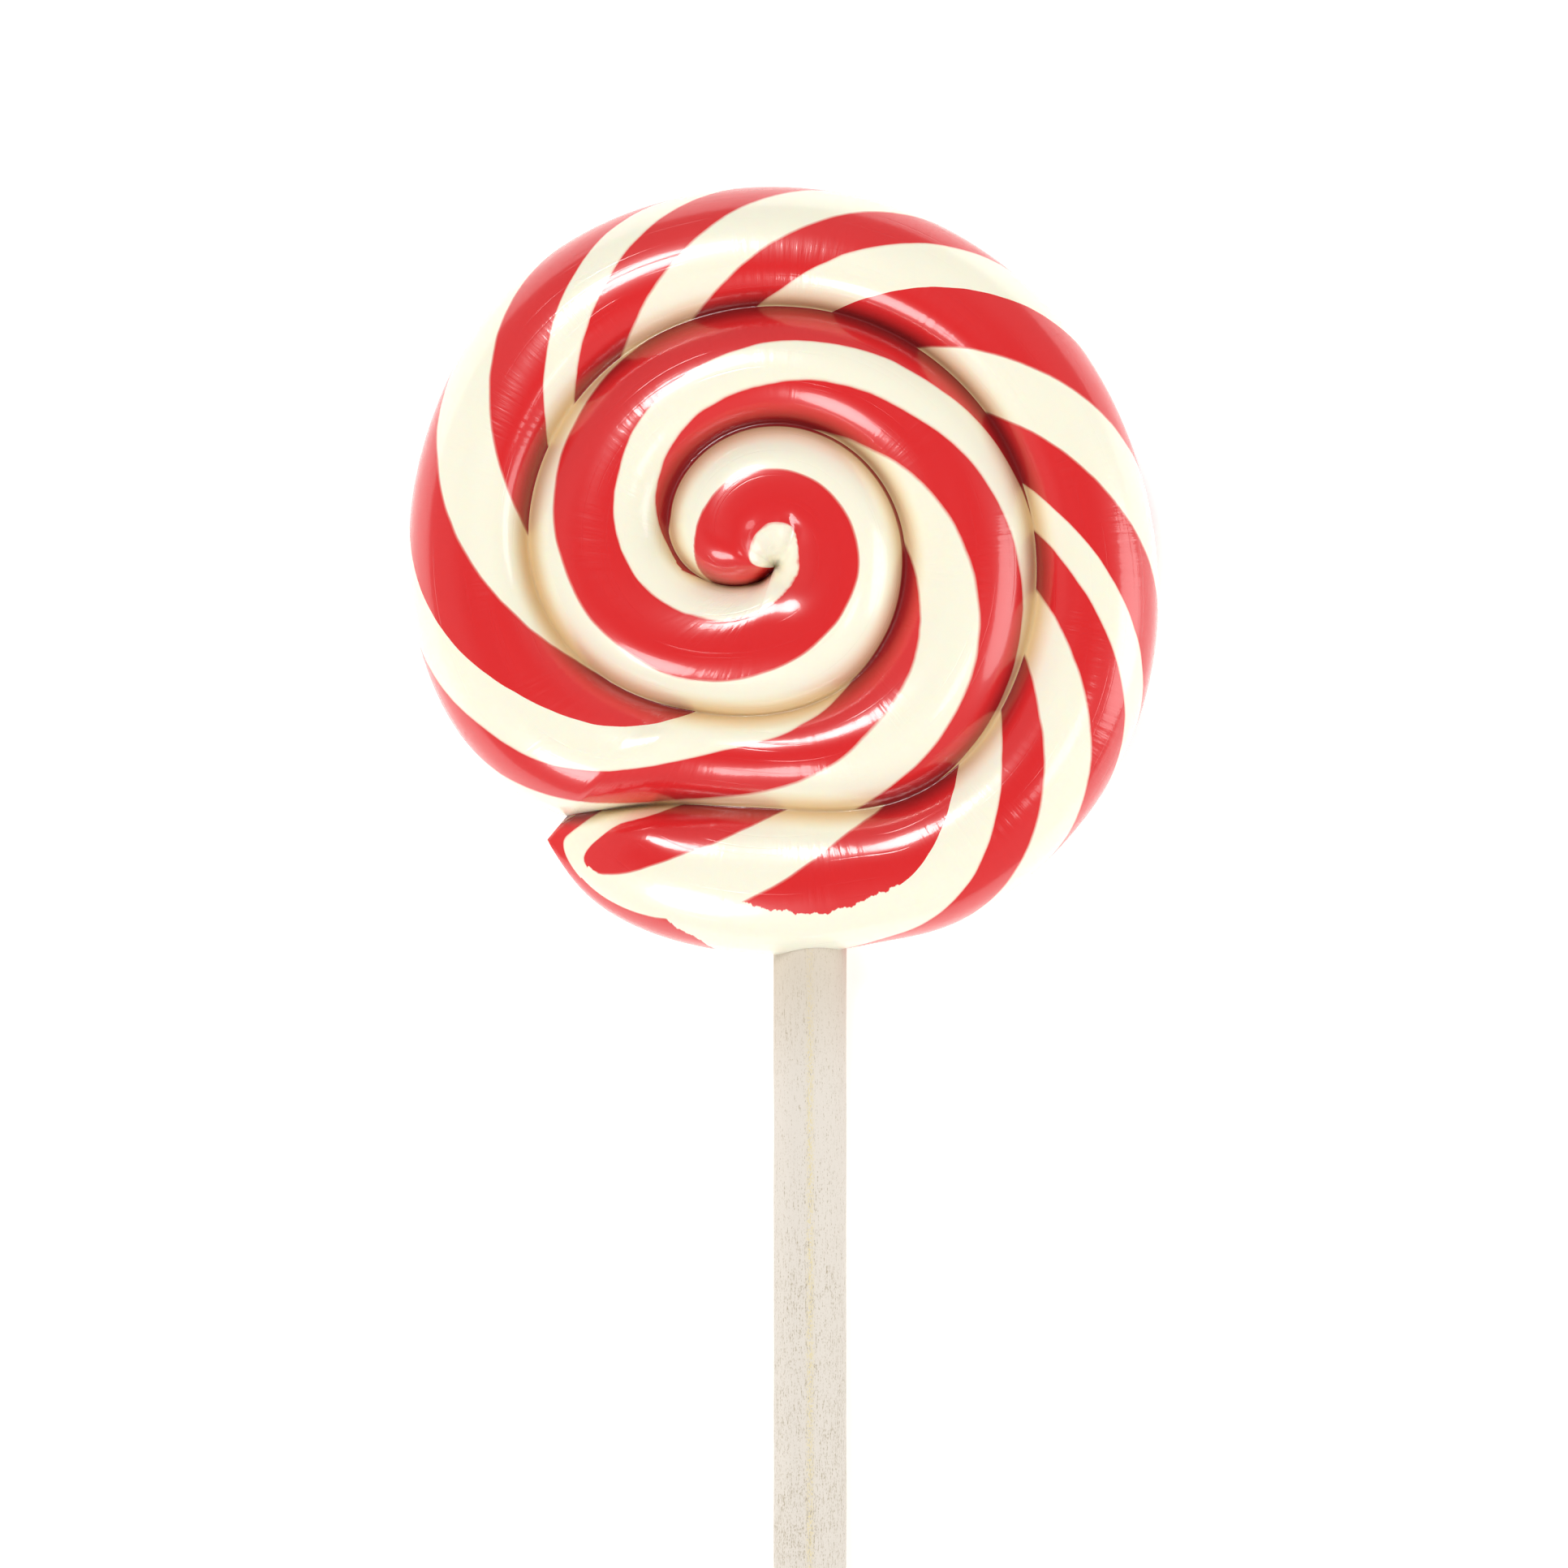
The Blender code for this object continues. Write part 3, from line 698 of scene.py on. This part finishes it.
def buildSugar():
    material = newMaterial("boiledSugarRedAndCream")
    tree = material.node_tree
    stripes = addNode(tree, "ShaderNodeUVMap", {"uv_map": "stripes"}).outputs[0]
    skin = addNode(tree, "ShaderNodeUVMap", {"uv_map": "skin"}).outputs[0]
    around = addNode(tree, "ShaderNodeSeparateXYZ", links={0: stripes}).outputs[0]
    wander = addNode(tree, "ShaderNodeTexNoise", flatNoise, {
        "Vector": skin, "Scale": 1.0 / (boiledSugar["wanderSpacing"] * mm), "Detail": 2.0})
    wobble = addNode(tree, "ShaderNodeMath", {"operation": "MULTIPLY_ADD"}, {
        0: wander.outputs[0], 1: boiledSugar["wander"] / fullTurn,
        2: -boiledSugar["wander"] / 2.0 / fullTurn})
    rolled = addNode(tree, "ShaderNodeMath", {"operation": "ADD"}, {0: around, 1: wobble.outputs[0]})
    share = addNode(tree, "ShaderNodeMath", {"operation": "FRACT"}, {0: rolled.outputs[0]})
    half = boiledSugar["edge"] / 2.0
    stops = []
    start = 0.0
    for number, width in enumerate(twist["strips"]):
        stops += [(start + half, number % 2), (start + width - half, number % 2)]
        start += width
    # one ramp for the open skin and one with painted shade for the seams: a darker red and a browner cream where
    # the turns meet
    ramps = []
    for red, cream in (("red", "cream"), ("redSeamShade", "creamSeamShade")):
        ramp = addNode(tree, "ShaderNodeValToRGB", {}, {0: share.outputs[0]})
        elements = ramp.color_ramp.elements
        while len(elements) < len(stops):
            elements.new(0.5)
        for element, (place, strip) in zip(elements, stops):
            element.position = place / fullTurn
            element.color = linearColour(boiledSugar[(red, cream)[strip]])
        ramps.append(ramp.outputs[0])
    # painted shade: within the seam width the colour fades into the darker seam ramp
    gap = addNode(tree, "ShaderNodeAttribute", {"attribute_name": "seamGap"}).outputs["Fac"]
    deep = addNode(tree, "ShaderNodeMapRange", eased, {
        "Value": gap, "From Min": boiledSugar["seamShadeFloor"] * mm, "From Max": boiledSugar["seamShadeWidth"] * mm,
        "To Min": 1.0, "To Max": 0.0})
    # cross wrinkles: noise squeezed along the rope and drawn out round it, only in patches
    squeezed = addNode(tree, "ShaderNodeMapping", {}, {"Vector": skin, "Scale": (
        1.0 / (boiledSugar["wrinkleSpacing"] * mm), 1.0 / (boiledSugar["wrinkleLength"] * mm), 1.0)})
    wrinkles = addNode(tree, "ShaderNodeTexNoise", flatNoise, {
        "Vector": squeezed.outputs[0], "Scale": 1.0, "Detail": 3.0, "Roughness": 0.55})
    # the cream that spreads to the rim has a ragged edge, torn along the wrinkles
    spread = addNode(tree, "ShaderNodeAttribute", {"attribute_name": "creamSpread"}).outputs["Fac"]
    ragged = addNode(tree, "ShaderNodeMath", {"operation": "MULTIPLY_ADD"}, {
        0: wrinkles.outputs[0], 1: boiledSugar["raggedness"], 2: spread})
    covered = addNode(tree, "ShaderNodeMapRange", eased, {
        "Value": ragged.outputs[0],
        "From Min": (boiledSugar["raggedness"] - boiledSugar["raggedEdge"]) / 2.0,
        "From Max": (boiledSugar["raggedness"] + boiledSugar["raggedEdge"]) / 2.0,
        "To Min": 0.0, "To Max": 1.0})
    striped = addNode(tree, "ShaderNodeMix", {"data_type": "RGBA"}, {
        0: covered.outputs[0], 6: ramps[0], 7: linearColour(boiledSugar["cream"])})
    colour = addNode(tree, "ShaderNodeMix", {"data_type": "RGBA"}, {
        0: deep.outputs[0], 6: striped.outputs[2], 7: ramps[1]})
    patchNoise = addNode(tree, "ShaderNodeTexNoise", flatNoise, {
        "Vector": skin, "Scale": 1.0 / (boiledSugar["wrinklePatch"] * mm), "Detail": 1.0})
    patches = addNode(tree, "ShaderNodeMapRange", {"interpolation_type": "SMOOTHERSTEP"}, {
        "Value": patchNoise.outputs[0], "From Min": boiledSugar["patchLevels"][0],
        "From Max": boiledSugar["patchLevels"][1], "To Min": 0.1, "To Max": 1.0})
    # the first turn wasn't twisted, so its skin stays smooth
    along = addNode(tree, "ShaderNodeSeparateXYZ", links={0: skin}).outputs[0]
    twisted = addNode(tree, "ShaderNodeMapRange", eased, {
        "Value": along, "From Min": boiledSugar["wrinklesStart"] * mm,
        "From Max": boiledSugar["wrinklesFull"] * mm, "To Min": boiledSugar["smoothShare"], "To Max": 1.0})
    patchesHere = addNode(tree, "ShaderNodeMath", {"operation": "MULTIPLY"}, {
        0: patches.outputs[0], 1: twisted.outputs[0]})
    wrinkleHeight = addNode(tree, "ShaderNodeMath", {"operation": "MULTIPLY"}, {
        0: wrinkles.outputs[0], 1: patchesHere.outputs[0]})
    # hairline scratches along the rope: the thin crests of a long drawn noise
    drawn = addNode(tree, "ShaderNodeMapping", {}, {"Vector": skin, "Scale": (
        1.0 / (boiledSugar["scratchLength"] * mm), 1.0 / (boiledSugar["scratchSpacing"] * mm), 1.0)})
    scratchNoise = addNode(tree, "ShaderNodeTexNoise", flatNoise, {
        "Vector": drawn.outputs[0], "Scale": 1.0, "Detail": 1.0})
    scratches = addNode(tree, "ShaderNodeMapRange", eased, {
        "Value": scratchNoise.outputs[0], "From Min": boiledSugar["scratchLevels"][0],
        "From Max": boiledSugar["scratchLevels"][1], "To Min": 0.0, "To Max": boiledSugar["scratchDepth"]})
    relief = addNode(tree, "ShaderNodeMath", {"operation": "SUBTRACT"}, {
        0: wrinkleHeight.outputs[0], 1: scratches.outputs[0]})
    bump = addNode(tree, "ShaderNodeBump", {}, {
        "Height": relief.outputs[0], "Strength": 1.0, "Distance": boiledSugar["wrinkleDepth"] * mm})
    shader = addNode(tree, "ShaderNodeBsdfPrincipled", {}, {
        "Base Color": colour.outputs[2], "Roughness": boiledSugar["roughness"], "Normal": bump.outputs[0],
        "IOR": boiledSugar["ior"], "Specular IOR Level": boiledSugar["specular"],
        "Coat Weight": boiledSugar["coat"], "Coat Roughness": boiledSugar["coatRoughness"],
        "Coat Normal": bump.outputs[0], "Subsurface Weight": boiledSugar["subsurface"],
        "Subsurface Scale": boiledSugar["subsurfaceDepth"] * mm, "Subsurface Radius": (1.0, 0.5, 0.3)})
    addNode(tree, "ShaderNodeOutputMaterial", links={"Surface": shader.outputs[0]})
    return material


def makeCoil():
    values = stationValues()
    guide = buildGuide(values)
    tree = buildCoilTree(list(values), buildSugar())
    piece = applyTree(guide, tree, {
        "Stations": len(values["turn"]),
        "Shown Columns": coil["shownColumns"],
        "Back Columns": coil["backColumns"],
        "Rope Radius": twist["ropeRadius"] * mm,
        "Seam Lean": math.radians(coil["seamLean"]),
        "Red Start": math.radians(sum(twist["strips"][:2]) - fullTurn),
        "Red Width": math.radians(twist["strips"][2]),
        "Cream Width": math.radians(twist["strips"][3]),
        "Finger Phase": math.radians(twist["fingerPhase"]),
        "Tip Station": (twist["tipStart"] - coil["firstSeam"] + fullTurn) / coil["stationStep"],
        "Wave Depth": coil["waveDepth"] * mm,
        "Waves Per Metre": 1.0 / (coil["waveLength"] * mm),
        "Seed": coil["seed"],
        "Fused Width": coil["fusedWidth"] * mm,
        "Fusing Steps": coil["fusingSteps"],
        "Merge Gap": coil["mergeGap"] * mm,
    }, "coiledCandyRope")
    pressDents(piece.data)
    filled, stillOpen = closeEnds(piece.data)
    print("coil made:", len(piece.data.polygons), "faces,", filled, "ends closed,", stillOpen, "edges open")
    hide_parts("candy")
    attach(piece, "root")
    return piece


# The stick: a 6 mm round dowel of pale birch, sanded but bare. It is matte, with short fine fibres and dark
# pores, drawn a little coarser than they are so that they show.
dowel = {
    "sides": 72,
    "rings": 160,
    "edge": 0.35,
    "edgeRings": 5,
    "uneven": 0.03,
    "unevenSpacing": 1.2,
    "unevenLength": 8.0,
    "wood": "E3DBD0",
    "woodDark": "B5A78F",
    # painted shade next to the candy
    "shadeBelowCandy": "CDBFAB",
    "vein": "E3D296",
    "veinWidth": 0.5,
    "veinShare": 0.8,
    "veinLevels": (0.45, 0.62),
    "fibreWidth": 0.1,
    "fibreLength": 1.1,
    "poreWidth": 0.09,
    "poreLength": 0.2,
    "poreShare": 0.8,
    "cloudSize": 14.0,
    "cloudShare": 0.25,
    # tones at which the wood is darkest and lightest
    "darkTone": 0.78,
    "lightTone": 1.02,
    # the stretch of painted shade where the stick comes out from under the candy, by its y
    "shadeFades": -44.0,
    "shadeFull": -31.0,
    "shadeShare": 0.6,
    "roughness": 0.7,
    "ior": 1.5,
    "specular": 0.3,
    "grainDepth": 0.04,
}


def buildBirch():
    material = newMaterial("bareBirchDowel")
    tree = material.node_tree
    place = addNode(tree, "ShaderNodeTexCoord").outputs["Object"]
    fibreWide = 1.0 / (dowel["fibreWidth"] * mm)
    drawn = addNode(tree, "ShaderNodeMapping", {}, {
        "Vector": place, "Scale": (fibreWide, 1.0 / (dowel["fibreLength"] * mm), fibreWide)})
    fibres = addNode(tree, "ShaderNodeTexNoise", {}, {
        "Vector": drawn.outputs[0], "Scale": 1.0, "Detail": 4.0, "Roughness": 0.65})
    poreWide = 1.0 / (dowel["poreWidth"] * mm)
    fineDrawn = addNode(tree, "ShaderNodeMapping", {}, {
        "Vector": place, "Scale": (poreWide, 1.0 / (dowel["poreLength"] * mm), poreWide)})
    pores = addNode(tree, "ShaderNodeTexNoise", {}, {
        "Vector": fineDrawn.outputs[0], "Scale": 1.0, "Detail": 2.0})
    clouds = addNode(tree, "ShaderNodeTexNoise", {}, {
        "Vector": place, "Scale": 1.0 / (dowel["cloudSize"] * mm), "Detail": 1.0})
    both = addNode(tree, "ShaderNodeMath", {"operation": "MULTIPLY_ADD"}, {
        0: pores.outputs[0], 1: dowel["poreShare"], 2: fibres.outputs[0]})
    tone = addNode(tree, "ShaderNodeMath", {"operation": "MULTIPLY_ADD"}, {
        0: clouds.outputs[0], 1: dowel["cloudShare"], 2: both.outputs[0]})
    ramp = addNode(tree, "ShaderNodeValToRGB", {}, {0: tone.outputs[0]})
    tones = (("darkTone", "woodDark"), ("lightTone", "wood"))
    for element, (level, colour) in zip(ramp.color_ramp.elements, tones):
        element.position = dowel[level]
        element.color = linearColour(dowel[colour])
    # a yellowish vein runs along the middle, broken up by the pores
    placeParts = addNode(tree, "ShaderNodeSeparateXYZ", links={0: place})
    aside = addNode(tree, "ShaderNodeMath", {"operation": "SUBTRACT"}, {
        0: placeParts.outputs[0], 1: (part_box("stick")[0][0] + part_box("stick")[1][0]) / 2.0})
    asideAny = addNode(tree, "ShaderNodeMath", {"operation": "ABSOLUTE"}, {0: aside.outputs[0]})
    veinNear = addNode(tree, "ShaderNodeMapRange", eased, {
        "Value": asideAny.outputs[0], "From Min": 0.0, "From Max": dowel["veinWidth"] * mm,
        "To Min": dowel["veinShare"], "To Max": 0.0})
    veinBroken = addNode(tree, "ShaderNodeMapRange", eased, {
        "Value": pores.outputs[0], "From Min": dowel["veinLevels"][0], "From Max": dowel["veinLevels"][1],
        "To Min": 0.0, "To Max": 1.0})
    veinShare = addNode(tree, "ShaderNodeMath", {"operation": "MULTIPLY"}, {
        0: veinNear.outputs[0], 1: veinBroken.outputs[0]})
    veined = addNode(tree, "ShaderNodeMix", {"data_type": "RGBA"}, {
        0: veinShare.outputs[0], 6: ramp.outputs[0], 7: linearColour(dowel["vein"])})
    # painted shade: the wood is darkened where it comes out from under the sugar
    candyShade = addNode(tree, "ShaderNodeMapRange", eased, {
        "Value": placeParts.outputs[1], "From Min": dowel["shadeFades"] * mm,
        "From Max": dowel["shadeFull"] * mm, "To Min": 0.0, "To Max": dowel["shadeShare"]})
    colour = addNode(tree, "ShaderNodeMix", {"data_type": "RGBA"}, {
        0: candyShade.outputs[0], 6: veined.outputs[2], 7: linearColour(dowel["shadeBelowCandy"])})
    bump = addNode(tree, "ShaderNodeBump", {}, {
        "Height": both.outputs[0], "Strength": 0.6, "Distance": dowel["grainDepth"] * mm})
    shader = addNode(tree, "ShaderNodeBsdfPrincipled", {}, {
        "Base Color": colour.outputs[2], "Normal": bump.outputs[0],
        "Roughness": dowel["roughness"], "IOR": dowel["ior"], "Specular IOR Level": dowel["specular"]})
    addNode(tree, "ShaderNodeOutputMaterial", links={"Surface": shader.outputs[0]})
    return material


def makeDowel():
    low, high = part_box("stick")
    radius = (high[0] - low[0]) / 2.0
    centreX = (high[0] + low[0]) / 2.0
    centreZ = (high[2] + low[2]) / 2.0
    edge = dowel["edge"] * mm
    rings = [(low[1] + edge * (1.0 - math.cos(lean)), radius - edge * (1.0 - math.sin(lean)))
             for lean in np.linspace(0.0, math.pi / 2.0, dowel["edgeRings"])]
    rings += [(y, radius) for y in np.linspace(low[1], high[1], dowel["rings"])[1:-1]]
    rings += [(high[1] - (y - low[1]), ringRadius) for y, ringRadius in reversed(rings[:dowel["edgeRings"]])]
    work = bmesh.new()
    before = None
    for y, ringRadius in rings:
        ring = []
        for side in range(dowel["sides"]):
            turn = 2.0 * math.pi * side / dowel["sides"]
            aside = math.cos(turn)
            up = math.sin(turn)
            girth = radius / (dowel["unevenSpacing"] * mm)
            spot = Vector((aside * girth, y / (dowel["unevenLength"] * mm), up * girth))
            reach = ringRadius + dowel["uneven"] * mm * noise.noise(spot)
            ring.append(work.verts.new((centreX + reach * aside, y, centreZ + reach * up)))
        if before:
            for side in range(dowel["sides"]):
                following = (side + 1) % dowel["sides"]
                work.faces.new((before[side], before[following], ring[following], ring[side]))
        else:
            work.faces.new(ring)
        before = ring
    work.faces.new(before)
    bmesh.ops.recalc_face_normals(work, faces=work.faces[:])
    mesh = bpy.data.meshes.new("birchDowel")
    work.to_mesh(mesh)
    work.free()
    mesh.shade_smooth()
    mesh.set_sharp_from_angle(angle=math.radians(50.0))
    mesh.materials.append(buildBirch())
    piece = bpy.data.objects.new("birchDowel", mesh)
    bpy.context.scene.collection.objects.link(piece)
    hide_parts("stick")
    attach(piece, "root")
    print("dowel made:", len(mesh.polygons), "faces")
    return piece


# The studio: a sheet of matte card, an even pale ground without gloss, and soft lights round it with little
# above, so that the gloss keeps its deep colour.
studio = {
    "imagePixels": 1932,
    "pixelsPerMm": 15.0,
    "coilCentrePixel": (955.0, 700.0),
    "lensMm": 200.0,
    "sensorMm": 36.0,
    "floor": "F7F7F6",
    "floorGlow": 0.5,
    "floorHalf": 2.0,
    # the tent's brightness low down and overhead, and the heights between which it fades
    "horizon": 0.45,
    "zenith": 0.08,
    "fadeFrom": 0.55,
    "fadeTo": 0.97,
    # compass direction in degrees from +Y clockwise, tilt from straight up, size in metres, power in watts
    "lights": (("keyAboveLeft", 338.0, 30.0, 0.24, 2.75),
               ("fillBelow", 203.0, 48.0, 0.36, 2.6),
               ("fillRight", 120.0, 32.0, 0.15, 0.2),
               ("sideRight", 95.0, 72.0, 0.5, 1.9)),
    "lightDistance": 0.75,
}


def makeFloor():
    mesh = bpy.data.meshes.new("paleSheet")
    half = studio["floorHalf"]
    corners = [(-half, -half, 0.0), (half, -half, 0.0), (half, half, 0.0), (-half, half, 0.0)]
    mesh.from_pydata(corners, [], [(0, 1, 2, 3)])
    material = newMaterial("matteCard")
    tree = material.node_tree
    shader = addNode(tree, "ShaderNodeBsdfPrincipled", {}, {
        "Base Color": linearColour(studio["floor"]), "Roughness": 0.9, "Specular IOR Level": 0.1,
        "Emission Color": linearColour(studio["floor"]), "Emission Strength": studio["floorGlow"]})
    addNode(tree, "ShaderNodeOutputMaterial", links={"Surface": shader.outputs[0]})
    mesh.materials.append(material)
    floor = bpy.data.objects.new("paleSheet", mesh)
    bpy.context.scene.collection.objects.link(floor)


def makeLights():
    for name, compass, tilt, size, power in studio["lights"]:
        lamp = bpy.data.lights.new(name, "AREA")
        lamp.shape = "DISK"
        lamp.size = size
        lamp.energy = power
        thing = bpy.data.objects.new(name, lamp)
        across = math.sin(math.radians(tilt))
        heading = math.radians(compass)
        upwards = math.cos(math.radians(tilt))
        direction = Vector((across * math.sin(heading), across * math.cos(heading), upwards))
        thing.location = direction * studio["lightDistance"]
        thing.rotation_euler = direction.to_track_quat("Z", "Y").to_euler()
        bpy.context.scene.collection.objects.link(thing)
    world = bpy.data.worlds.new("whiteTent")
    bpy.context.scene.world = world
    world.use_nodes = True
    tree = world.node_tree
    tree.nodes.clear()
    # bright near the horizon, dim overhead where the camera looks in
    direction = addNode(tree, "ShaderNodeTexCoord").outputs["Generated"]
    height = addNode(tree, "ShaderNodeSeparateXYZ", links={0: direction}).outputs[2]
    strength = addNode(tree, "ShaderNodeMapRange", eased, {
        "Value": height, "From Min": studio["fadeFrom"], "From Max": studio["fadeTo"],
        "To Min": studio["horizon"], "To Max": studio["zenith"]})
    background = addNode(tree, "ShaderNodeBackground", links={"Strength": strength.outputs[0]})
    addNode(tree, "ShaderNodeOutputWorld", links={"Surface": background.outputs[0]})


def makeCamera():
    frameMm = studio["imagePixels"] / studio["pixelsPerMm"]
    middle = studio["imagePixels"] / 2.0
    x = (middle - studio["coilCentrePixel"][0]) / studio["pixelsPerMm"] * mm
    y = (studio["coilCentrePixel"][1] - middle) / studio["pixelsPerMm"] * mm
    lens = bpy.data.cameras.new("photoCamera")
    lens.sensor_width = studio["sensorMm"]
    lens.lens = studio["lensMm"]
    camera = bpy.data.objects.new("photoCamera", lens)
    distance = frameMm * studio["lensMm"] / studio["sensorMm"] * mm
    camera.location = (x, y, distance + coil["rimHeight"] * mm)
    bpy.context.scene.collection.objects.link(camera)
    bpy.context.scene.camera = camera


makeCamera()
makeCoil()
makeDowel()
makeFloor()
makeLights()
bpy.context.scene.view_settings.view_transform = "Standard"
print("stage set")
